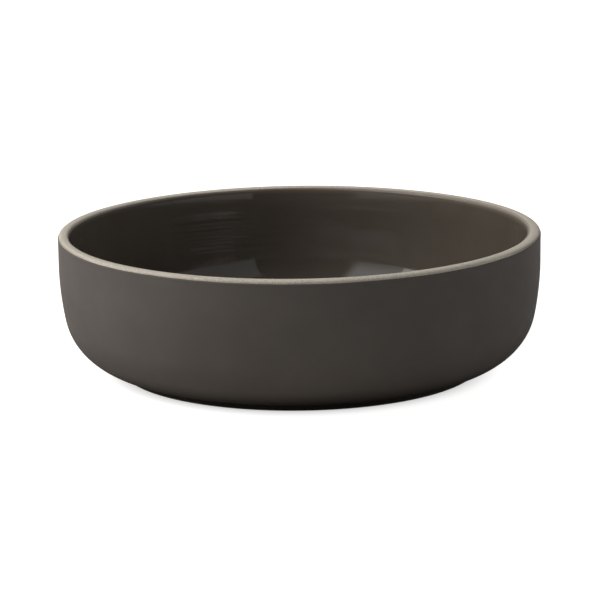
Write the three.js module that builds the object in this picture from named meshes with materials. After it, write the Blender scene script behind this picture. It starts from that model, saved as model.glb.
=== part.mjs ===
// A low round stoneware bowl: one clay body with a bare lip and foot ring, and three fired glaze coats.
// Millimetres, +Z up. The origin is the centre of the circle that the foot ring stands on.
import * as THREE from "three";

// Overall sizes, measured over the glaze.
const rimDiameter = 240;
const bowlHeight = 70;

// Glaze: how thick each coat is, and the hair of space that keeps it from sharing faces with the clay.
const glazeThickness = 0.3;
const fusedGap = 0.02;

// Lip: the clay's thickness there and its two rounded edges. The glaze stops where the rounding starts.
const lipThickness = 5.2;
const lipOuterRound = 1.2;
const lipInnerRound = 0.9;

// Flare: the inner wall opens out a little over a short height below the lip.
const lipFlare = 0.5;
const flareHeight = 6;

// Wall: upright for a band below the lip, then drawn in along an arc down to the lower corner.
const uprightBand = 14;
const wallDraw = 2.7;
const cornerHeight = 28;
const cornerFullness = 0.61;

// Floor: its thickness, and how far its flat part lies inside the upright inner wall.
const floorThickness = 5.7;
const floorInset = 33;

// Foot: how far it lies inside the rim, its height, and the slope of the underside that rises from it.
const footInset = 30;
const footHeight = 3;
const undersideSlope = 10;
const footFillet = 1;

// Foot ring: its width, the recess inside it, and the bare band left between its edges and the glaze.
const footRingWidth = 6.5;
const footEdgeRound = 0.4;
const footBareBand = 0.1;
const recessDepth = 2.5;
const recessFillet = 1;

// How finely the shape is cut: facets round the axis and steps along each kind of curve.
const turnFacets = 60;
const cornerSteps = 7;
const wallSteps = 3;
const flareSteps = 2;
const roundSteps = 2;
const roundFullness = 0.55;

// Sizes that follow from the ones above.
const coatDepth = fusedGap + glazeThickness;
const outerRadius = rimDiameter / 2 - coatDepth;
const lipInnerRadius = outerRadius - lipThickness;
const innerRadius = lipInnerRadius - lipFlare;
const wallTop = bowlHeight - uprightBand;
const wallLean = 2 * Math.atan2(wallDraw, wallTop - cornerHeight);
const floorRadius = innerRadius - floorInset;
const floorTop = recessDepth + floorThickness;
const footRadius = outerRadius - footInset;
const ringInnerRadius = footRadius - footRingWidth;
const footGlazeLine = footEdgeRound + footBareBand;
const footRise = THREE.MathUtils.degToRad(undersideSlope);

function at(radius, height) {
  return new THREE.Vector2(radius, height);
}

// A rounded turn from start to end that would meet at the given corner if it were sharp.
function turnPast(start, corner, end, fullness, steps) {
  const leaving = start.clone().lerp(corner, fullness);
  const arriving = end.clone().lerp(corner, fullness);
  return new THREE.CubicBezierCurve(start, leaving, arriving, end).getPoints(steps);
}

// Where a line through one point crosses a line through another.
function crossing(point, direction, otherPoint, otherDirection) {
  const apart = otherPoint.clone().sub(point);
  const reach = apart.cross(otherDirection) / direction.cross(otherDirection);
  return point.clone().addScaledVector(direction, reach);
}

// The drawn-in part of a wall, from its lower end up to where the wall stands upright.
function wallArc(uprightRadius) {
  const arcRadius = (wallTop - cornerHeight) / Math.sin(wallLean);
  const points = [];
  for (let step = wallSteps; step >= 0; step -= 1) {
    const angle = wallLean * step / wallSteps;
    const radius = uprightRadius - arcRadius * (1 - Math.cos(angle));
    points.push(at(radius, wallTop - arcRadius * Math.sin(angle)));
  }
  return points;
}

// The direction of a wall at the lower end of its arc, pointing up.
function wallFootDirection() {
  return at(Math.sin(wallLean), Math.cos(wallLean));
}

// The recess under the bowl, from the axis out and down to where its glaze stops on the foot ring.
function recessPath() {
  const room = recessDepth - footGlazeLine;
  const fillet = Math.min(recessFillet, room / 2);
  const corner = at(ringInnerRadius, recessDepth);
  const start = at(ringInnerRadius - fillet, recessDepth);
  const end = at(ringInnerRadius, recessDepth - fillet);
  return [
    at(0, recessDepth),
    ...turnPast(start, corner, end, roundFullness, roundSteps),
    at(ringInnerRadius, footGlazeLine),
  ];
}

// The bare foot ring, from its inner edge across the standing face to its outer edge.
function footRingPath() {
  const round = Math.min(footEdgeRound, footRingWidth / 3);
  const innerEdge = turnPast(
    at(ringInnerRadius, round), at(ringInnerRadius, 0),
    at(ringInnerRadius + round, 0), roundFullness, roundSteps);
  const outerEdge = turnPast(
    at(footRadius - round, 0), at(footRadius, 0),
    at(footRadius, round), roundFullness, roundSteps);
  return [...innerEdge, ...outerEdge];
}

// The outside, from the glaze line on the foot up to the glaze line below the lip.
function outsidePath() {
  const room = footHeight - footGlazeLine;
  const fillet = Math.min(footFillet, room / 2);
  const underside = at(Math.cos(footRise), Math.sin(footRise));
  const footTop = at(footRadius, footHeight);
  const filletStart = at(footRadius, footHeight - fillet);
  const filletEnd = footTop.clone().addScaledVector(underside, fillet);
  const wall = wallArc(outerRadius);
  const corner = crossing(filletEnd, underside, wall[0], wallFootDirection());
  return [
    at(footRadius, footGlazeLine),
    ...turnPast(filletStart, footTop, filletEnd, roundFullness, roundSteps),
    ...turnPast(filletEnd, corner, wall[0], cornerFullness, cornerSteps).slice(1, -1),
    ...wall,
    at(outerRadius, bowlHeight - lipOuterRound),
  ];
}

// The bare lip, between the outer and the inner glaze line and without those two points.
function lipPath() {
  const outerEdge = turnPast(
    at(outerRadius, bowlHeight - lipOuterRound), at(outerRadius, bowlHeight),
    at(outerRadius - lipOuterRound, bowlHeight), roundFullness, roundSteps);
  const innerEdge = turnPast(
    at(lipInnerRadius + lipInnerRound, bowlHeight), at(lipInnerRadius, bowlHeight),
    at(lipInnerRadius, bowlHeight - lipInnerRound), roundFullness, roundSteps);
  return [...outerEdge.slice(1), ...innerEdge.slice(0, -1)];
}

// The flared top of the inner wall, from the glaze line below the lip down to its upright part.
function flarePath() {
  const height = Math.min(flareHeight, uprightBand / 2);
  const points = [];
  for (let step = 0; step <= flareSteps; step += 1) {
    const rise = 1 - step / flareSteps;
    const drop = height * step / flareSteps;
    points.push(at(innerRadius + lipFlare * rise * rise, bowlHeight - lipInnerRound - drop));
  }
  return points;
}

// The inside, from the glaze line below the lip down the wall and across the floor to the axis.
function insidePath() {
  const wall = wallArc(innerRadius).reverse();
  const wallFoot = wall[wall.length - 1];
  const floorEdge = at(floorRadius, floorTop);
  const corner = crossing(wallFoot, wallFootDirection(), floorEdge, at(1, 0));
  return [
    ...flarePath(),
    ...wall,
    ...turnPast(wallFoot, corner, floorEdge, cornerFullness, cornerSteps).slice(1),
    at(0, floorTop),
  ];
}

// The direction square to a step of a path, on the right-hand side of its travel.
function rightOf(from, to) {
  const along = to.clone().sub(from).normalize();
  return at(along.y, -along.x);
}

// A path moved to the right of its travel, away from the clay, with mitred joints.
function offsetPath(path, distance) {
  const sides = path.slice(1).map((point, index) => rightOf(path[index], point));
  return path.map((point, index) => {
    const sideBefore = sides[Math.max(index - 1, 0)];
    const sideAfter = sides[Math.min(index, sides.length - 1)];
    const mitre = sideBefore.clone().add(sideAfter);
    return point.clone().addScaledVector(mitre, 2 * distance / mitre.lengthSq());
  });
}

// The face of a coat that lies on the clay, run backwards so that it faces the clay.
function fusedFace(path) {
  return offsetPath(path, fusedGap).reverse();
}

function glazedFace(path) {
  return offsetPath(path, coatDepth);
}

function turnedPiece(name, profile, color, roughness) {
  const geometry = new THREE.LatheGeometry(profile, turnFacets);
  geometry.rotateX(Math.PI / 2);
  const material = new THREE.MeshStandardMaterial({ color, roughness, metalness: 0 });
  const piece = new THREE.Mesh(geometry, material);
  piece.name = name;
  return piece;
}

function clayBody() {
  const profile = [...recessPath(), ...footRingPath(), ...outsidePath(), ...lipPath(), ...insidePath()];
  return turnedPiece("clay_body", profile, "#c8bfb0", 0.8);
}

// The glossy lining. Its profile starts and ends on the axis.
function innerGlaze() {
  const profile = [...fusedFace(insidePath()), ...glazedFace(insidePath())];
  return turnedPiece("inner_glaze", profile, "#595249", 0.15);
}

// The matt coat on the outside. Its profile closes on itself.
function outerGlaze() {
  const face = glazedFace(outsidePath());
  const profile = [...face, ...fusedFace(outsidePath()), face[0].clone()];
  return turnedPiece("outer_glaze", profile, "#6a645e", 0.75);
}

// The matt coat in the recess under the bowl. Its profile starts and ends on the axis.
function footGlaze() {
  const profile = [...glazedFace(recessPath()), ...fusedFace(recessPath())];
  return turnedPiece("foot_glaze", profile, "#6a645e", 0.75);
}

const bowl = new THREE.Group();
bowl.name = "bowl";
bowl.add(clayBody(), innerGlaze(), outerGlaze(), footGlaze());

export default bowl;
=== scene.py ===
"""Looks for the stoneware bowl: fine turned meshes of the clay and its glazes, and a small photo studio."""
import math

import bmesh
import bpy
from mathutils import Matrix, Vector


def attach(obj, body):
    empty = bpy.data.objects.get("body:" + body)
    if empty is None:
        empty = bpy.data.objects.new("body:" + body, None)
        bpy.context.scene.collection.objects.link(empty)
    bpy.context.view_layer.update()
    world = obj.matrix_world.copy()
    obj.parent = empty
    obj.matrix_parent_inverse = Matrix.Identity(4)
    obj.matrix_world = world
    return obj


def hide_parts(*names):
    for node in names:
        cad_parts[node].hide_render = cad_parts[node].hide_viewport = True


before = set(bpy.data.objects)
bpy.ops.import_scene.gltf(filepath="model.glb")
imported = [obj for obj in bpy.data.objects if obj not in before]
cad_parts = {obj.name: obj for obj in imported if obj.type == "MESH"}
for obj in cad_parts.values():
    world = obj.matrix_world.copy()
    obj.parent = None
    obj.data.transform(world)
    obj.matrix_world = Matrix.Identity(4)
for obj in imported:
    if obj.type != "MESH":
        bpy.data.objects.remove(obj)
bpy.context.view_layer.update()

# One millimetre in metres.
MM = 0.001

# Sizes of the bowl, in millimetres. The diameter and the height are measured over the glaze.
RIM_DIAMETER = 240.0
HEIGHT = 70.0

# Glaze: how thick each coat is, and the hair of space between it and the clay.
GLAZE = 0.3
FUSED_GAP = 0.02

# Lip: the clay's thickness there, its rounded edges, and how far its top falls towards them.
LIP_THICKNESS = 5.2
LIP_OUTER_ROUND = 1.2
LIP_INNER_ROUND = 0.9
LIP_CROWN = 0.5

# Flare: the inner wall opens out a little over some height below the lip.
LIP_FLARE = 1.1
FLARE_HEIGHT = 13.0

# Wall: upright for a band below the lip, then drawn in along an arc down to the lower corner.
UPRIGHT_BAND = 14.0
WALL_DRAW = 2.7
OUTER_CORNER_HEIGHT = 28.0
INNER_CORNER_HEIGHT = 29.9
CORNER_FULLNESS = 0.61

# Floor: its thickness, and how far its flat part lies inside the upright inner wall.
FLOOR_THICKNESS = 5.7
FLOOR_INSET = 33.0

# Foot: how far it lies inside the rim, its height, and the slope of the underside that rises from it.
FOOT_INSET = 30.0
FOOT_HEIGHT = 3.0
UNDERSIDE_SLOPE = math.radians(10.0)
FOOT_FILLET = 1.0

# Foot ring: its width, its rounded edges, where the glaze stops, and the recess inside it.
FOOT_RING_WIDTH = 6.5
FOOT_EDGE_ROUND = 0.4
RECESS_DEPTH = 2.5
RECESS_FILLET = 1.0

# How full the small rounded edges are.
ROUND_FULLNESS = 0.55

# Sizes that follow from the ones above.
RIM_RADIUS = RIM_DIAMETER / 2
COAT_DEPTH = FUSED_GAP + GLAZE
OUTER_RADIUS = RIM_RADIUS - COAT_DEPTH
LIP_INNER_RADIUS = OUTER_RADIUS - LIP_THICKNESS
LIP_MIDDLE_RADIUS = OUTER_RADIUS - LIP_THICKNESS / 2
INNER_RADIUS = LIP_INNER_RADIUS - LIP_FLARE
WALL_TOP = HEIGHT - UPRIGHT_BAND
FLOOR_RADIUS = INNER_RADIUS - FLOOR_INSET
FLOOR_TOP = RECESS_DEPTH + FLOOR_THICKNESS
FOOT_RADIUS = OUTER_RADIUS - FOOT_INSET
RING_INNER_RADIUS = FOOT_RADIUS - FOOT_RING_WIDTH

# Signs of the hand: waves round the bowl, each as (waves per turn, millimetres, phase).
RIM_WAVES = ((2, 0.10, 0.6), (3, 0.06, 2.1), (5, 0.02, 4.0))
ROUNDNESS_WAVES = ((2, 0.12, 1.9), (3, 0.05, 0.3))
GLAZE_LINE_WAVES = (
    (3, 0.05, 0.4), (7, 0.04, 1.9), (13, 0.03, 3.1), (29, 0.03, 0.7), (53, 0.02, 2.2))
WIPED_WAVES = ((1, 0.3, math.radians(68.0)),)

# How far from its edge a coat follows the waves of its glaze line.
GLAZE_LINE_REACH = 1.5

# How far the outer coat's edge was wiped down below the lip, and how far down the coat follows it.
WIPED_DROP = 0.26
WIPED_REACH = 4.0

# The hollow's place along X: a little to the left, so that the lip is wider at its right end.
HOLLOW_SHIFT = -0.6

# Throwing rings left in the glazed faces: their spacing, and the length, share and phase of their swelling.
RING_SPACING = 4.8
RING_SWELL = 21.0
RING_SWELL_SHARE = 0.2
RING_SWELL_PHASE = 1.3

# The side where the rings are plainest, how closely they keep to it, and the share left on the other sides.
RING_SIDE = math.radians(115.0)
RING_SIDE_FOCUS = 60
RING_FAR_SHARE = 0.02

# The heights over which the rings begin and end, and how high they stand inside and outside.
RINGS_START = (34.5, 38.5)
RINGS_END = (54.0, 60.0)
INSIDE_RING_HEIGHT = 0.06
OUTSIDE_RING_HEIGHT = 0.003

# The edge of a coat: the width of its round bead, how proud the bead stands, and rows of points across it.
BEAD_WIDTH = 0.7
BEAD_RISE = 0.25
BEAD_ROWS = (0.0, 0.03, 0.09, 0.18, 0.3, 0.45, 0.65, 0.9, 1.2, 1.6, 2.1)

# How finely the meshes are cut: points round the axis, and steps along long curves and small edges.
SEGMENTS = 256
CURVE_STEPS = 400
ROUND_STEPS = 10

# Millimetres between rows of points on open faces and on hidden ones, and the turn that hidden rows allow.
FACE_ROWS = 0.55
HIDDEN_ROWS = 3.0
HIDDEN_TURN = math.radians(10.0)

# The angle from which an edge stays sharp, and the radius below which a point counts as on the axis.
SHARP_ANGLE = math.radians(55.0)
AXIS_RADIUS = 1e-6

# Colours, as linear red, green and blue.
TAUPE_DARK = (0.138, 0.125, 0.113)
TAUPE_LIGHT = (0.152, 0.138, 0.126)
TAUPE_SPECK = (0.100, 0.089, 0.079)
# Painted shade: the outer coat's dark tone low down by the foot, standing in for the shade under the bowl's
# belly.
TAUPE_PAINTED_SHADE_BY_FOOT = (0.066, 0.059, 0.053)
TAUPE_IN_RECESS = (0.128, 0.113, 0.099)
BROWN_DARK = (0.095, 0.079, 0.063)
BROWN_LIGHT = (0.105, 0.088, 0.071)
BROWN_SPECK = (0.056, 0.046, 0.036)
BROWN_EDGE = (0.200, 0.163, 0.126)
CLAY_DARK = (0.567, 0.506, 0.411)
CLAY_LIGHT = (0.63, 0.565, 0.468)
CLAY_SAND = (0.686, 0.627, 0.532)
CLAY_SPECK = (0.30, 0.25, 0.19)
# Partly a glaze wash and partly painted shade: the darker tone on the lip's outer rounding, kept to the
# bowl's left and right ends.
CLAY_OUTER_WASH_AND_SHADE = (0.25, 0.21, 0.17)
CLAY_INNER_WASH = (0.36, 0.31, 0.255)
SHEET_COLOUR = (0.56, 0.522, 0.482)
COOL_WHITE = (0.96, 1.0, 1.06)

# Where the finishes and the painted shade change: the start and end of each soft change, in millimetres.
# Painted shade on the outer coat: the heights over which it darkens towards the foot. The recess coat lies
# wholly below them and takes its own tone.
LOW_TONE_AND_SHADE_HEIGHTS = (4.0, 15.0)
BROWN_EDGE_HEIGHTS = (HEIGHT - 4.0, HEIGHT - 0.8)
DRY_EDGE_HEIGHTS = (HEIGHT - 2.1, HEIGHT - 1.2)
# Glaze wash and painted shade: the radii of the outer rounding that darkens, and the distances along X that
# keep it to the left and right ends.
OUTER_WASH_AND_SHADE_RADII = (RIM_RADIUS - 1.1, RIM_RADIUS - 0.1)
OUTER_PAINTED_SHADE_SIDES = (RIM_RADIUS - 25.0, RIM_RADIUS - 4.0)
INNER_WASH_RADII = (LIP_INNER_RADIUS + 0.62, LIP_INNER_RADIUS + 0.02)
INNER_WASH_HEIGHTS = (HEIGHT - 10.0, HEIGHT - 5.0)

# Roughness of each surface, from its smoothest patches to its roughest, and what the dry edge adds.
MATT_ROUGHNESS = (0.70, 0.80)
GLOSS_ROUGHNESS = (0.05, 0.08)
CLAY_ROUGHNESS = (0.78, 0.92)
DRY_EDGE_ROUGHNESS = 0.4
SHEET_ROUGHNESS = 0.9

# How strongly each surface mirrors.
MATT_SPECULAR = 0.05
GLOSS_IOR = 1.55
CLAY_IOR = 1.45

# Noise: how rough it is, the range that most of it lies in, and a narrower range for separate grains.
NOISE_ROUGHNESS = 0.55
NOISE_RANGE = (0.3, 0.7)
GRAIN_RANGE = (0.42, 0.58)

# The share of a speck's radius that is fully coloured.
SPECK_CORE = 0.4

# Studio, in metres: half the floor's width, and how far from the bowl's axis the sheet is all white.
FLOOR_HALF = 6.0
WHITE_REACH = 0.35

# How far the lamps stand from the bowl's axis, and the height from which their elevations are counted.
LAMP_DISTANCE = 1.3
LAMP_ZERO_HEIGHT = 0.04

# The level of the faint light from all round, where 1 is white.
WORLD_LEVEL = 0.02

# Camera: the photograph's width and focal length in pixels, and a usual sensor's width in millimetres.
PICTURE_PIXELS = 600
FOCAL_PIXELS = 2864.7
SENSOR_WIDTH = 36.0

# Where the camera stands, in metres, and how far it looks down and is tilted.
CAMERA_PLACE = (0.0, -1.4, 0.3507)
CAMERA_PITCH = math.radians(12.765)
CAMERA_ROLL = math.radians(-0.743)


# Profiles: points as (radius, height).
# Together they run from the axis below, round the outside and the lip, to the axis inside.

def at(radius, height):
    """A point of a profile, or a direction."""
    return Vector((radius, height))


def turn_past(start, corner, end, fullness, steps):
    """A rounded turn from start to end that would meet at the given corner if it were sharp."""
    leaving = start.lerp(corner, fullness)
    arriving = end.lerp(corner, fullness)
    points = []
    for step in range(steps + 1):
        t = step / steps
        u = 1 - t
        points.append(u**3 * start + 3 * u * u * t * leaving + 3 * u * t * t * arriving + t**3 * end)
    return points


def crossing(point, direction, other_point, other_direction):
    """Where a line through one point crosses a line through another."""
    apart = other_point - point
    reach = apart.cross(other_direction) / direction.cross(other_direction)
    return point + reach * direction


def wall_lean(corner_height):
    """How far a wall leans out at the lower end of its arc."""
    return 2 * math.atan2(WALL_DRAW, WALL_TOP - corner_height)


def wall_arc(upright_radius, corner_height):
    """The drawn-in part of a wall, from its lower end up to where the wall stands upright."""
    lean = wall_lean(corner_height)
    arc_radius = (WALL_TOP - corner_height) / math.sin(lean)
    points = []
    for step in range(CURVE_STEPS, -1, -1):
        angle = lean * step / CURVE_STEPS
        radius = upright_radius - arc_radius * (1 - math.cos(angle))
        points.append(at(radius, WALL_TOP - arc_radius * math.sin(angle)))
    return points


def wall_foot_direction(corner_height):
    """The direction of a wall at the lower end of its arc, pointing up."""
    lean = wall_lean(corner_height)
    return at(math.sin(lean), math.cos(lean))


def recess_path():
    """The recess under the bowl, from the axis to where its glaze stops on the foot ring."""
    corner = at(RING_INNER_RADIUS, RECESS_DEPTH)
    start = at(RING_INNER_RADIUS - RECESS_FILLET, RECESS_DEPTH)
    end = at(RING_INNER_RADIUS, RECESS_DEPTH - RECESS_FILLET)
    return [
        at(0, RECESS_DEPTH),
        *turn_past(start, corner, end, ROUND_FULLNESS, ROUND_STEPS),
        at(RING_INNER_RADIUS, FOOT_EDGE_ROUND),
    ]


def foot_ring_path():
    """The bare foot ring, from its inner edge across the standing face to its outer edge."""
    inner_edge = turn_past(
        at(RING_INNER_RADIUS, FOOT_EDGE_ROUND), at(RING_INNER_RADIUS, 0),
        at(RING_INNER_RADIUS + FOOT_EDGE_ROUND, 0), ROUND_FULLNESS, ROUND_STEPS)
    outer_edge = turn_past(
        at(FOOT_RADIUS - FOOT_EDGE_ROUND, 0), at(FOOT_RADIUS, 0),
        at(FOOT_RADIUS, FOOT_EDGE_ROUND), ROUND_FULLNESS, ROUND_STEPS)
    return [*inner_edge, *outer_edge]


def outside_path():
    """The outside, from the glaze line on the foot up to the glaze line below the lip."""
    underside = at(math.cos(UNDERSIDE_SLOPE), math.sin(UNDERSIDE_SLOPE))
    foot_top = at(FOOT_RADIUS, FOOT_HEIGHT)
    fillet_start = at(FOOT_RADIUS, FOOT_HEIGHT - FOOT_FILLET)
    fillet_end = foot_top + FOOT_FILLET * underside
    wall = wall_arc(OUTER_RADIUS, OUTER_CORNER_HEIGHT)
    corner = crossing(fillet_end, underside, wall[0], wall_foot_direction(OUTER_CORNER_HEIGHT))
    return [
        at(FOOT_RADIUS, FOOT_EDGE_ROUND),
        *turn_past(fillet_start, foot_top, fillet_end, ROUND_FULLNESS, ROUND_STEPS),
        *turn_past(fillet_end, corner, wall[0], CORNER_FULLNESS, CURVE_STEPS)[1:-1],
        *wall,
        at(OUTER_RADIUS, HEIGHT - LIP_OUTER_ROUND),
    ]


def lip_top(radius):
    """A point on top of the lip, which is a little lower towards its edges."""
    from_middle = (radius - LIP_MIDDLE_RADIUS) / (LIP_THICKNESS / 2)
    return at(radius, HEIGHT - LIP_CROWN * from_middle**2)


def lip_path():
    """The bare lip, between the outer and the inner glaze line and without those two points."""
    outer_end = OUTER_RADIUS - LIP_OUTER_ROUND
    inner_end = LIP_INNER_RADIUS + LIP_INNER_ROUND
    outer_edge = turn_past(
        at(OUTER_RADIUS, HEIGHT - LIP_OUTER_ROUND), lip_top(OUTER_RADIUS), lip_top(outer_end),
        ROUND_FULLNESS, ROUND_STEPS)
    inner_edge = turn_past(
        lip_top(inner_end), lip_top(LIP_INNER_RADIUS), at(LIP_INNER_RADIUS, HEIGHT - LIP_INNER_ROUND),
        ROUND_FULLNESS, ROUND_STEPS)
    top = [
        lip_top(outer_end + (inner_end - outer_end) * step / ROUND_STEPS)
        for step in range(1, ROUND_STEPS)]
    return [*outer_edge[1:], *top, *inner_edge[:-1]]


def flare_path():
    """The flared top of the inner wall, from the glaze line down to where the wall stands upright."""
    points = []
    for step in range(CURVE_STEPS + 1):
        rise = 1 - step / CURVE_STEPS
        radius = INNER_RADIUS + LIP_FLARE * rise * rise
        points.append(at(radius, HEIGHT - LIP_INNER_ROUND - FLARE_HEIGHT * (1 - rise)))
    return points


def inside_path():
    """The inside, from the glaze line below the lip down the wall and across the floor to the axis."""
    wall = wall_arc(INNER_RADIUS, INNER_CORNER_HEIGHT)[::-1]
    floor_edge = at(FLOOR_RADIUS, FLOOR_TOP)
    corner = crossing(wall[-1], wall_foot_direction(INNER_CORNER_HEIGHT), floor_edge, at(1, 0))
    return [
        *flare_path(),
        *wall,
        *turn_past(wall[-1], corner, floor_edge, CORNER_FULLNESS, CURVE_STEPS)[1:],
        at(0, FLOOR_TOP),
    ]


def path_lengths(path):
    """The distance along a path to each of its points."""
    lengths = [0.0]
    for start, end in zip(path, path[1:]):
        lengths.append(lengths[-1] + (end - start).length)
    return lengths


def row_distances(length, spacing, start_bead, end_bead):
    """Distances along a path for rows of points, closer together across a bead at either end."""
    start = BEAD_ROWS if start_bead else (0.0,)
    end = BEAD_ROWS if end_bead else (0.0,)
    first, last = start[-1], length - end[-1]
    count = max(1, round((last - first) / spacing))
    between = [first + (last - first) * step / count for step in range(1, count)]
    return [*start, *between, *(length - distance for distance in reversed(end))]


def hidden_distances(path):
    """Distances along a path for rows under a coat: far apart on the straight and close in tight turns."""
    lengths = path_lengths(path)
    distances = [0.0]
    heading = path[1] - path[0]
    for index in range(1, len(path) - 1):
        onward = path[index + 1] - path[index]
        if heading.angle(onward) > HIDDEN_TURN or lengths[index] - distances[-1] > HIDDEN_ROWS:
            distances.append(lengths[index])
            heading = onward
    return [*distances, lengths[-1]]


def sampled(path, distances):
    """Points of a path at the given distances along it, each with the direction to the right of travel."""
    lengths = path_lengths(path)
    span = 0
    rows = []
    for distance in distances:
        while span < len(path) - 2 and lengths[span + 1] <= distance:
            span += 1
        part = (distance - lengths[span]) / (lengths[span + 1] - lengths[span])
        along = (path[span + 1] - path[span]).normalized()
        rows.append((distance, path[span].lerp(path[span + 1], part), at(along.y, -along.x)))
    return rows


# Meshes: a profile turned round the axis, with the small unevenness of a hand-thrown bowl.

def waves(angle, parts):
    """The sum of some waves at an angle round the bowl."""
    return sum(height * math.cos(count * angle + phase) for count, height, phase in parts)


def thrown(radius, height, angle, inner):
    """The place of a profile point on the hand-thrown bowl. inner is 0 outside and 1 in the hollow."""
    up = height / HEIGHT
    out = min(1.0, radius / FLOOR_RADIUS)
    radius += waves(angle, ROUNDNESS_WAVES) * up * out
    height += waves(angle, RIM_WAVES) * up * up * out
    sideways = HOLLOW_SHIFT * inner * out
    return Vector((radius * math.cos(angle) + sideways, radius * math.sin(angle), height)) * MM


def join_rings(mesh, ring, following):
    """Adds the faces between two rings of points. A ring on the axis is a single point."""
    if len(ring) == 1 and len(following) == 1:
        return
    for step in range(SEGMENTS):
        after = (step + 1) % SEGMENTS
        if len(ring) == 1:
            corners = (ring[0], following[after], following[step])
        elif len(following) == 1:
            corners = (ring[step], ring[after], following[0])
        else:
            corners = (ring[step], ring[after], following[after], following[step])
        mesh.faces.new(corners)


def turned_object(name, rows, place):
    """A closed mesh: place(row, angle) gives each point, and a row on the axis is a single point."""
    mesh = bmesh.new()
    rings = []
    for row in rows:
        count = 1 if row["on_axis"] else SEGMENTS
        rings.append([mesh.verts.new(place(row, math.tau * step / SEGMENTS)) for step in range(count)])
    for ring, following in zip(rings, rings[1:] + rings[:1]):
        join_rings(mesh, ring, following)
    bmesh.ops.recalc_face_normals(mesh, faces=mesh.faces)
    data = bpy.data.meshes.new(name)
    mesh.to_mesh(data)
    mesh.free()
    data.shade_smooth()
    data.set_sharp_from_angle(angle=SHARP_ANGLE)
    piece = bpy.data.objects.new(name, data)
    bpy.context.scene.collection.objects.link(piece)
    return piece


def bead(distance):
    """How full a coat is at a distance from its edge: a round bead that settles to an even coat."""
    near = min(1.0, distance / BEAD_WIDTH)
    proud = BEAD_RISE * math.exp(-((distance / BEAD_WIDTH - 1) ** 2))
    return math.sqrt(1 - (1 - near) ** 2) * (1 + proud)


def eased(value, start, end):
    """0 before start and 1 after end, with a smooth rise between them."""
    t = min(1.0, max(0.0, (value - start) / (end - start)))
    return t * t * (3 - 2 * t)


def throwing_ring(distance, height, angle, ring_height):
    """The spiral left by the potter's fingers in the upright part of the wall, plainest on one side."""
    swelling = math.sin(math.tau * distance / RING_SWELL + RING_SWELL_PHASE)
    swell = 1 - RING_SWELL_SHARE + RING_SWELL_SHARE * swelling
    plainest = math.cos((angle - RING_SIDE) / 2) ** RING_SIDE_FOCUS
    swell *= RING_FAR_SHARE + (1 - RING_FAR_SHARE) * plainest
    swell *= eased(height, *RINGS_START) * (1 - eased(height, *RINGS_END))
    return ring_height * swell * math.sin(math.tau * distance / RING_SPACING + angle)


def glaze_wander(row, angle):
    """How far the edge of a coat wanders up from its even line."""
    near_edge = max(0.0, 1 - row["from_edge"] / GLAZE_LINE_REACH)
    return waves(angle, GLAZE_LINE_WAVES) * near_edge


def wiped_drop(row, angle):
    """How far the outer coat's edge was wiped down below the lip, most of all on the near side."""
    if row["point"].y < WALL_TOP:
        return 0.0
    near_lip = max(0.0, 1 - row["from_edge"] / WIPED_REACH)
    return (WIPED_DROP + waves(angle, WIPED_WAVES)) * near_lip


def coat_rows(path, distances, start_bead, end_bead, is_face):
    """Rows along one face of a coat, each with its distance from the coat's nearest edge."""
    length = distances[-1]
    rows = []
    for distance, point, side in sampled(path, distances):
        from_start = distance if start_bead else length
        from_end = length - distance if end_bead else length
        rows.append({
            "point": point, "side": side, "distance": distance, "from_edge": min(from_start, from_end),
            "is_face": is_face, "on_axis": point.x < AXIS_RADIUS})
    return rows


def glaze_coat(name, path, start_bead, end_bead, inner, ring_height):
    """A glaze coat with round, slightly wandering edges and faint throwing rings on its open face."""
    face_distances = row_distances(path_lengths(path)[-1], FACE_ROWS, start_bead, end_bead)
    face = coat_rows(path, face_distances, start_bead, end_bead, is_face=True)
    back = coat_rows(path, hidden_distances(path), start_bead, end_bead, is_face=False)
    rows = [*face, *(row for row in reversed(back) if row["from_edge"] > BEAD_WIDTH)]

    def place(row, angle):
        lift = FUSED_GAP
        if row["is_face"]:
            lift += GLAZE * bead(row["from_edge"])
            lift += throwing_ring(row["distance"], row["point"].y, angle, ring_height)
        spot = row["point"] + lift * row["side"]
        height = spot.y + glaze_wander(row, angle)
        if not inner:
            height -= wiped_drop(row, angle)
        return thrown(max(0.0, spot.x), height, angle, inner)

    return turned_object(name, rows, place)


def clay_rows(path, inner):
    """Rows of the clay body along a path. inner goes evenly from its first value to its last."""
    first, last = inner
    steps = len(path) - 1
    return [
        {"point": point, "inner": first + (last - first) * step / steps, "on_axis": point.x < AXIS_RADIUS}
        for step, point in enumerate(path)]


def hidden_path(path):
    """A path under a coat with its points spread out."""
    return [point for _, point, _ in sampled(path, hidden_distances(path))]


def clay_body(name):
    """The fired clay: fine where it is bare at the lip and foot ring, coarse below the glazes."""
    rows = [
        *clay_rows([*hidden_path(recess_path()), *foot_ring_path()], (0, 0)),
        *clay_rows(hidden_path(outside_path()), (0, 0)),
        *clay_rows(lip_path(), (0, 1)),
        *clay_rows(hidden_path(inside_path()), (1, 1)),
    ]

    def place(row, angle):
        return thrown(row["point"].x, row["point"].y, angle, row["inner"])

    return turned_object(name, rows, place)


# Nodes that the materials and lamps are made of.

def new_material(name):
    """A material with its node tree and its shader."""
    material = bpy.data.materials.new(name)
    material.use_nodes = True
    tree = material.node_tree
    return material, tree, tree.nodes["Principled BSDF"]


def object_place(tree):
    """The place of a point on the object, in metres."""
    return tree.nodes.new("ShaderNodeTexCoord").outputs["Object"]


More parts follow.
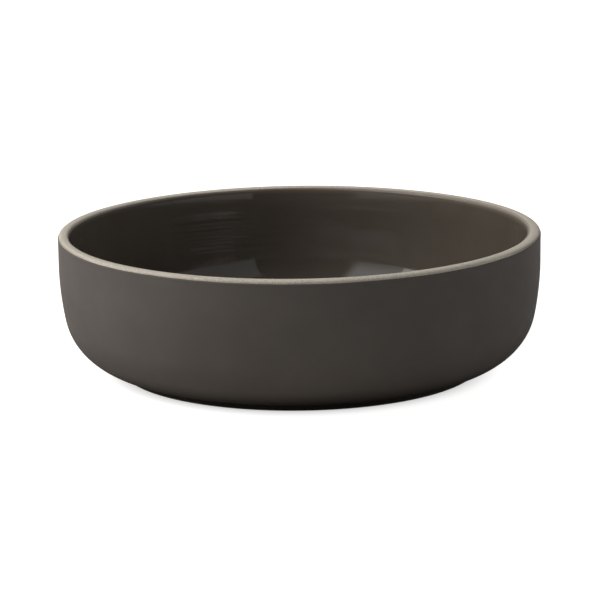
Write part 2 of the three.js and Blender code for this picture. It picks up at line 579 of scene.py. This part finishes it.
def axis_distance(tree):
    """How far a place is from the bowl's axis, in metres."""
    flat = tree.nodes.new("ShaderNodeVectorMath")
    flat.operation = "MULTIPLY"
    flat.inputs[1].default_value = (1, 1, 0)
    tree.links.new(object_place(tree), flat.inputs[0])
    made = tree.nodes.new("ShaderNodeVectorMath")
    made.operation = "LENGTH"
    tree.links.new(flat.outputs[0], made.inputs[0])
    return made.outputs["Value"]


def noise(tree, size_mm, detail=3.0):
    """Noise from 0 to 1 whose patches are about size_mm across."""
    made = tree.nodes.new("ShaderNodeTexNoise")
    made.inputs["Scale"].default_value = 1.0 / (size_mm * MM)
    made.inputs["Detail"].default_value = detail
    made.inputs["Roughness"].default_value = NOISE_ROUGHNESS
    tree.links.new(object_place(tree), made.inputs["Vector"])
    return made.outputs[0]


def remapped(tree, value, from_range, to_range=(0.0, 1.0)):
    """A value carried smoothly from one range to another, and held at its ends."""
    made = tree.nodes.new("ShaderNodeMapRange")
    made.interpolation_type = "SMOOTHSTEP"
    made.inputs["From Min"].default_value, made.inputs["From Max"].default_value = from_range
    made.inputs["To Min"].default_value, made.inputs["To Max"].default_value = to_range
    tree.links.new(value, made.inputs["Value"])
    return made.outputs["Result"]


def calculated(tree, operation, *values):
    """The result of a maths node on one or two values."""
    made = tree.nodes.new("ShaderNodeMath")
    made.operation = operation
    for value, socket in zip(values, made.inputs):
        tree.links.new(value, socket)
    return made.outputs[0]


def product(tree, first, second):
    """Two values multiplied."""
    return calculated(tree, "MULTIPLY", first, second)


def added(tree, first, second):
    """Two values added."""
    return calculated(tree, "ADD", first, second)


def along_axis(tree, axis):
    """One coordinate of a place, in metres."""
    made = tree.nodes.new("ShaderNodeSeparateXYZ")
    tree.links.new(object_place(tree), made.inputs[0])
    return made.outputs[axis]


def height_band(tree, low_mm, high_mm):
    """0 below one height of the bowl and 1 above another."""
    return remapped(tree, along_axis(tree, "Z"), (low_mm * MM, high_mm * MM))


def radius_band(tree, start_mm, end_mm):
    """0 on one radius round the axis and 1 on another, and the same beyond each of them."""
    return remapped(tree, axis_distance(tree), (start_mm * MM, end_mm * MM))


def side_band(tree, low_mm, high_mm):
    """0 near the bowl's middle and 1 towards its left and right ends."""
    aside = calculated(tree, "ABSOLUTE", along_axis(tree, "X"))
    return remapped(tree, aside, (low_mm * MM, high_mm * MM))


def blended(tree, factor, first, second):
    """A colour that goes from first to second. Each is a colour or another node's colour."""
    made = tree.nodes.new("ShaderNodeMix")
    made.data_type = "RGBA"
    tree.links.new(factor, made.inputs["Factor"])
    sockets = [socket for socket in made.inputs if socket.type == "RGBA"]
    for socket, colour in zip(sockets, (first, second)):
        if isinstance(colour, tuple):
            socket.default_value = (*colour, 1.0)
        else:
            tree.links.new(colour, socket)
    return [socket for socket in made.outputs if socket.type == "RGBA"][0]


def bumped(tree, height, depth_mm, strength, below=None):
    """A surface roughened by a height, on top of another such surface if one is given."""
    made = tree.nodes.new("ShaderNodeBump")
    made.inputs["Distance"].default_value = depth_mm * MM
    made.inputs["Strength"].default_value = strength
    tree.links.new(height, made.inputs["Height"])
    if below is not None:
        tree.links.new(below, made.inputs["Normal"])
    return made.outputs["Normal"]


def specks(tree, spacing_mm, radius_mm, share):
    """1 inside scattered round specks, of which only a share of the cells hold one."""
    cells = tree.nodes.new("ShaderNodeTexVoronoi")
    cells.inputs["Scale"].default_value = 1.0 / (spacing_mm * MM)
    tree.links.new(object_place(tree), cells.inputs["Vector"])
    edge = radius_mm / spacing_mm
    inside = remapped(tree, cells.outputs["Distance"], (edge, SPECK_CORE * edge))
    chance = tree.nodes.new("ShaderNodeSeparateColor")
    tree.links.new(cells.outputs["Color"], chance.inputs[0])
    chosen = tree.nodes.new("ShaderNodeMath")
    chosen.operation = "LESS_THAN"
    chosen.inputs[1].default_value = share
    tree.links.new(chance.outputs[0], chosen.inputs[0])
    return product(tree, inside, chosen.outputs[0])


# Materials: colour, roughness and bump from noise at the scale of each surface.

def matt_glaze(name, low_tone_and_painted_shade):
    """A dry, silky glaze with soft clouds, faint iron specks, another tone low down, which on the outer
    coat is a painted shade by the foot, and a fine eggshell.
    """
    material, tree, shader = new_material(name)
    cloud = remapped(tree, noise(tree, size_mm=34.0, detail=4.0), NOISE_RANGE)
    tone = blended(tree, cloud, TAUPE_DARK, TAUPE_LIGHT)
    iron = specks(tree, spacing_mm=5.0, radius_mm=0.35, share=0.35)
    tone = blended(tree, iron, tone, TAUPE_SPECK)
    # Low down the tone goes over to the one given: on the outer coat a painted shade by the foot, in the
    # recess the recess coat's own tone.
    tone = blended(tree, height_band(tree, *LOW_TONE_AND_SHADE_HEIGHTS), low_tone_and_painted_shade, tone)
    tree.links.new(tone, shader.inputs["Base Color"])
    silk = remapped(tree, noise(tree, size_mm=6.0), NOISE_RANGE, MATT_ROUGHNESS)
    tree.links.new(silk, shader.inputs["Roughness"])
    eggshell = bumped(tree, noise(tree, size_mm=4.0, detail=2.0), depth_mm=0.05, strength=0.25)
    grain = noise(tree, size_mm=0.6, detail=2.0)
    surface = bumped(tree, grain, depth_mm=0.02, strength=0.35, below=eggshell)
    tree.links.new(surface, shader.inputs["Normal"])
    shader.inputs["Specular IOR Level"].default_value = MATT_SPECULAR
    return material


def gloss_glaze(name):
    """A glossy brown glaze with faint clouds and specks, paler and drier at its edge below the lip."""
    material, tree, shader = new_material(name)
    cloud = remapped(tree, noise(tree, size_mm=26.0, detail=4.0), NOISE_RANGE)
    tone = blended(tree, cloud, BROWN_DARK, BROWN_LIGHT)
    iron = specks(tree, spacing_mm=4.0, radius_mm=0.3, share=0.3)
    tone = blended(tree, iron, tone, BROWN_SPECK)
    tone = blended(tree, height_band(tree, *BROWN_EDGE_HEIGHTS), tone, BROWN_EDGE)
    tree.links.new(tone, shader.inputs["Base Color"])
    wet = remapped(tree, noise(tree, size_mm=9.0), NOISE_RANGE, GLOSS_ROUGHNESS)
    at_edge = height_band(tree, *DRY_EDGE_HEIGHTS)
    dry = remapped(tree, at_edge, (0.0, 1.0), (0.0, DRY_EDGE_ROUGHNESS))
    tree.links.new(added(tree, wet, dry), shader.inputs["Roughness"])
    ripple = bumped(tree, noise(tree, size_mm=7.0, detail=2.0), depth_mm=0.02, strength=0.2)
    tree.links.new(ripple, shader.inputs["Normal"])
    shader.inputs["IOR"].default_value = GLOSS_IOR
    return material


def bare_clay(name):
    """Bare stoneware: pale beige with sandy grains and dark specks, a wash of glaze on its inner edge, and
    on its outer rounding a darker band that is partly glaze wash and partly painted shade at the bowl's
    left and right ends.
    """
    material, tree, shader = new_material(name)
    patch = remapped(tree, noise(tree, size_mm=16.0, detail=4.0), NOISE_RANGE)
    tone = blended(tree, patch, CLAY_DARK, CLAY_LIGHT)
    sand = remapped(tree, noise(tree, size_mm=1.0, detail=2.0), GRAIN_RANGE)
    tone = blended(tree, sand, tone, CLAY_SAND)
    iron = specks(tree, spacing_mm=1.8, radius_mm=0.22, share=0.2)
    tone = blended(tree, iron, tone, CLAY_SPECK)
    # Partly glaze wash, partly painted shade: the lip's outer rounding darkens only at the bowl's left and
    # right ends.
    outer_wash_and_shade = product(tree, radius_band(tree, *OUTER_WASH_AND_SHADE_RADII), side_band(tree, *OUTER_PAINTED_SHADE_SIDES))
    tone = blended(tree, outer_wash_and_shade, tone, CLAY_OUTER_WASH_AND_SHADE)
    inner_wash = product(tree, height_band(tree, *INNER_WASH_HEIGHTS), radius_band(tree, *INNER_WASH_RADII))
    tone = blended(tree, inner_wash, tone, CLAY_INNER_WASH)
    tree.links.new(tone, shader.inputs["Base Color"])
    dry = remapped(tree, noise(tree, size_mm=2.0), NOISE_RANGE, CLAY_ROUGHNESS)
    tree.links.new(dry, shader.inputs["Roughness"])
    coarse = bumped(tree, noise(tree, size_mm=1.3, detail=3.0), depth_mm=0.10, strength=0.45)
    fine = noise(tree, size_mm=0.5, detail=2.0)
    surface = bumped(tree, fine, depth_mm=0.05, strength=0.6, below=coarse)
    tree.links.new(surface, shader.inputs["Normal"])
    shader.inputs["IOR"].default_value = CLAY_IOR
    return material


def white_lift(tree, near_reach, near_lift):
    """How much the sheet is lifted to white: less near the bowl, which paints a soft shadow round it, and
    fully far from it.
    """
    away = axis_distance(tree)
    near = remapped(tree, away, near_reach, near_lift)
    far = remapped(tree, away, (near_reach[1], WHITE_REACH), (0.0, 1.0 - near_lift[1]))
    return added(tree, near, far)


def white_sheet(name):
    """A matt pale sheet. Seen directly or mirrored it is lifted to white, less near the bowl where the lift
    paints a soft shadow, and its own shading keeps the bowl's cast shadow.
    """
    material, tree, shader = new_material(name)
    shader.inputs["Base Color"].default_value = (*SHEET_COLOUR, 1.0)
    shader.inputs["Roughness"].default_value = SHEET_ROUGHNESS
    shader.inputs["Specular IOR Level"].default_value = 0.0
    rays = tree.nodes.new("ShaderNodeLightPath")
    mirrored = added(tree, rays.outputs["Is Glossy Ray"], rays.outputs["Is Transmission Ray"])
    # Painted shadow: seen directly, the sheet is lifted less close to the bowl.
    seen_lift = white_lift(tree, near_reach=(0.082, 0.102), near_lift=(0.45, 0.95))
    # Painted shadow in reflections: mirrored, the sheet gets no lift close to the bowl and less lift out to
    # a wider reach.
    mirrored_lift = white_lift(tree, near_reach=(0.12, 0.20), near_lift=(0.0, 0.9))
    seen_white = product(tree, rays.outputs["Is Camera Ray"], seen_lift)
    mirrored_white = product(tree, mirrored, mirrored_lift)
    shader.inputs["Emission Color"].default_value = (1, 1, 1, 1)
    tree.links.new(added(tree, seen_white, mirrored_white), shader.inputs["Emission Strength"])
    return material


# The bowl.

def dress(piece, node, material):
    """Gives a piece its material, hangs it on the bowl's root body and hides the CAD part that it stands in
    for.
    """
    piece.data.materials.append(material)
    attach(piece, "root")
    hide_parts(node)


def make_clay_body():
    """The fired clay, bare at the lip and the foot ring."""
    piece = clay_body("stoneware_body")
    dress(piece, "clay_body", bare_clay("bare stoneware"))


def make_lining():
    """The glossy coat inside, with an edge below the lip."""
    piece = glaze_coat(
        "gloss_lining", inside_path(), start_bead=True, end_bead=False, inner=1,
        ring_height=INSIDE_RING_HEIGHT)
    dress(piece, "inner_glaze", gloss_glaze("gloss brown glaze"))


def make_outside_coat():
    """The matt coat outside, with an edge on the foot and one below the lip."""
    piece = glaze_coat(
        "matt_outside_coat", outside_path(), start_bead=True, end_bead=True, inner=0,
        ring_height=OUTSIDE_RING_HEIGHT)
    # Painted shade: the outer coat darkens low down by the foot.
    dress(piece, "outer_glaze", matt_glaze("matt taupe glaze", TAUPE_PAINTED_SHADE_BY_FOOT))


def make_foot_coat():
    """The matt coat in the recess under the bowl, with an edge on the foot ring."""
    piece = glaze_coat(
        "matt_foot_coat", recess_path(), start_bead=False, end_bead=True, inner=0,
        ring_height=OUTSIDE_RING_HEIGHT)
    dress(piece, "foot_glaze", matt_glaze("matt taupe foot glaze", TAUPE_IN_RECESS))


# The studio: a pale sheet, soft lamps and the camera.

def make_floor():
    """The sheet that the bowl stands on."""
    corners = [
        (-FLOOR_HALF, -FLOOR_HALF, 0), (FLOOR_HALF, -FLOOR_HALF, 0),
        (FLOOR_HALF, FLOOR_HALF, 0), (-FLOOR_HALF, FLOOR_HALF, 0)]
    data = bpy.data.meshes.new("floor")
    data.from_pydata(corners, [], [(0, 1, 2, 3)])
    data.materials.append(white_sheet("white sheet"))
    floor = bpy.data.objects.new("floor", data)
    bpy.context.scene.collection.objects.link(floor)


def lamp_panel(name, place, facing, size, radiance):
    """A flat lamp in metres. A radiance of 1 is as bright as white paper."""
    data = bpy.data.lights.new(name, "AREA")
    data.shape = "RECTANGLE"
    data.size, data.size_y = size
    data.energy = math.pi * data.size * data.size_y * radiance
    lamp = bpy.data.objects.new(name, data)
    lamp.location = place
    lamp.rotation_euler = (-facing).to_track_quat("Z", "Y").to_euler()
    bpy.context.scene.collection.objects.link(lamp)
    return data


def softbox(name, bearings, elevations, radiance):
    """An upright lamp that fills a range of bearings and elevations seen from the bowl, in degrees.

    Bearings are counted from the camera's side, with those to the right of the picture positive."""
    bearing = math.radians(sum(bearings) / 2)
    half_width = math.radians(bearings[1] - bearings[0]) / 2
    out = Vector((math.sin(bearing), -math.cos(bearing), 0))
    low, high = (LAMP_DISTANCE * math.tan(math.radians(elevation)) for elevation in elevations)
    place = out * LAMP_DISTANCE + Vector((0, 0, (low + high) / 2 + LAMP_ZERO_HEIGHT))
    size = (2 * LAMP_DISTANCE * math.tan(half_width), high - low)
    return lamp_panel(name, place, -out, size, radiance)


def graded(data, rise, foot_level, side_fade):
    """Dims a lamp from full at its top to a low level at its foot, and fades its upright edges."""
    data.use_nodes = True
    tree = data.node_tree
    across = tree.nodes.new("ShaderNodeSeparateXYZ")
    tree.links.new(tree.nodes.new("ShaderNodeNewGeometry").outputs["Parametric"], across.inputs[0])
    level = remapped(tree, across.outputs["Y"], rise, (foot_level, 1.0))
    left = remapped(tree, across.outputs["X"], (0.0, side_fade))
    right = remapped(tree, across.outputs["X"], (1.0, 1.0 - side_fade))
    strength = product(tree, level, product(tree, left, right))
    tree.links.new(strength, tree.nodes["Emission"].inputs["Strength"])


def make_lamps():
    """Soft lamps in the places that the photograph's shading and reflections show."""
    softbox("key softbox", bearings=(-112.0, -62.0), elevations=(15.0, 48.0), radiance=2.3)
    softbox("key wing", bearings=(-124.0, -88.0), elevations=(1.0, 15.0), radiance=0.85)
    scrim = softbox("front scrim", bearings=(-104.0, -28.0), elevations=(2.0, 52.0), radiance=1.42)
    graded(scrim, rise=(0.05, 0.55), foot_level=0.3, side_fade=0.14)
    softbox("right card", bearings=(24.0, 70.0), elevations=(3.0, 48.0), radiance=0.42)
    edge_card = softbox("right edge card", bearings=(70.0, 125.0), elevations=(2.0, 17.0), radiance=3.0)
    edge_card.color = COOL_WHITE
    graded(edge_card, rise=(0.25, 0.75), foot_level=0.1, side_fade=0.04)
    rear_card = softbox("right rear card", bearings=(110.0, 168.0), elevations=(4.0, 28.0), radiance=3.0)
    graded(rear_card, rise=(0.0, 0.9), foot_level=0.05, side_fade=0.48)
    lamp_panel(
        "high softbox", place=Vector((-0.7, 0.0, 1.15)), facing=Vector((0.52, 0.0, -0.854)),
        size=(0.5, 0.8), radiance=4.5)


def make_world():
    """A faint even light from all round."""
    world = bpy.data.worlds.new("studio")
    world.use_nodes = True
    sky = world.node_tree.nodes["Background"]
    sky.inputs["Color"].default_value = (1, 1, 1, 1)
    sky.inputs["Strength"].default_value = WORLD_LEVEL
    bpy.context.scene.world = world


def make_camera():
    """The photograph's view: a long lens from above the lip, held with a slight tilt."""
    data = bpy.data.cameras.new("camera")
    data.sensor_width = SENSOR_WIDTH
    data.lens = SENSOR_WIDTH * FOCAL_PIXELS / PICTURE_PIXELS
    camera = bpy.data.objects.new("camera", data)
    turn = Matrix.Rotation(math.pi / 2 - CAMERA_PITCH, 4, "X") @ Matrix.Rotation(CAMERA_ROLL, 4, "Z")
    camera.matrix_world = Matrix.Translation(CAMERA_PLACE) @ turn
    bpy.context.scene.collection.objects.link(camera)
    bpy.context.scene.camera = camera


make_camera()
make_clay_body()
make_lining()
make_outside_coat()
make_foot_coat()
make_floor()
make_lamps()
make_world()
bpy.context.scene.view_settings.view_transform = "Standard"
